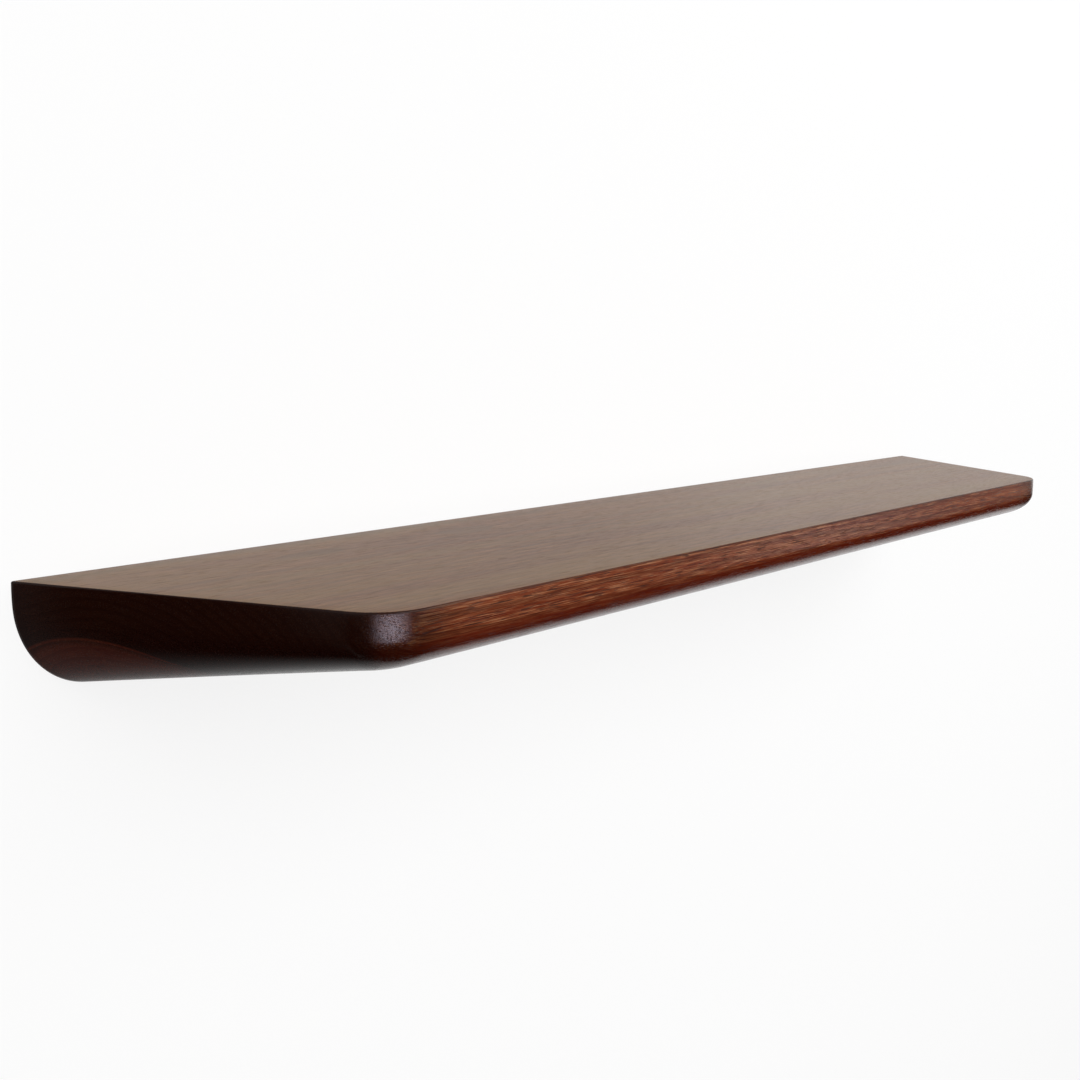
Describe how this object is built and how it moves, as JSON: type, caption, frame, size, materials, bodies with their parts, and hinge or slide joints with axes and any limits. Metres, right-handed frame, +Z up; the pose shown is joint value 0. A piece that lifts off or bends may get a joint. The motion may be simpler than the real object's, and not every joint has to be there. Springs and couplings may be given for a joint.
{
  "type": "floating wall shelf",
  "caption": "Solid wood floating wall shelf with slanted ends and a rounded, tapering underside, carried on rods by a concealed steel wall bracket.",
  "frame": {"origin": "centre of the bracket bar's back face, on the wall plane, midway between the two spare stud holes", "axes": "+X along the wall and the shelf's length, +Y into the wall, +Z up"},
  "size_m": [0.75, 0.1974, 0.0495],
  "materials": {
    "hardwood": "satin oil",
    "bracket_steel": "black powder coat",
    "rod_steel": "turned",
    "screw_steel": "zinc plated",
    "plug_nylon": "moulded"
  },
  "bodies": {
    "wall_bracket": {"bracket_bar": "bracket_steel", "support_rod_1": "rod_steel", "support_rod_2": "rod_steel", "support_rod_3": "rod_steel", "support_rod_4": "rod_steel", "wall_screw_1": "screw_steel", "wall_screw_2": "screw_steel", "wall_screw_3": "screw_steel", "wall_screw_4": "screw_steel", "wall_screw_5": "screw_steel", "wall_plug_1": "plug_nylon", "wall_plug_2": "plug_nylon", "wall_plug_3": "plug_nylon", "wall_plug_4": "plug_nylon", "wall_plug_5": "plug_nylon"},
    "board": {"shelf_board": "hardwood"}
  },
  "joints": [
    {"name": "board_slide", "type": "slide", "parent": "wall_bracket", "child": "board", "axis": [0, -1, 0], "range_m": [0, 0.095]}
  ]
}
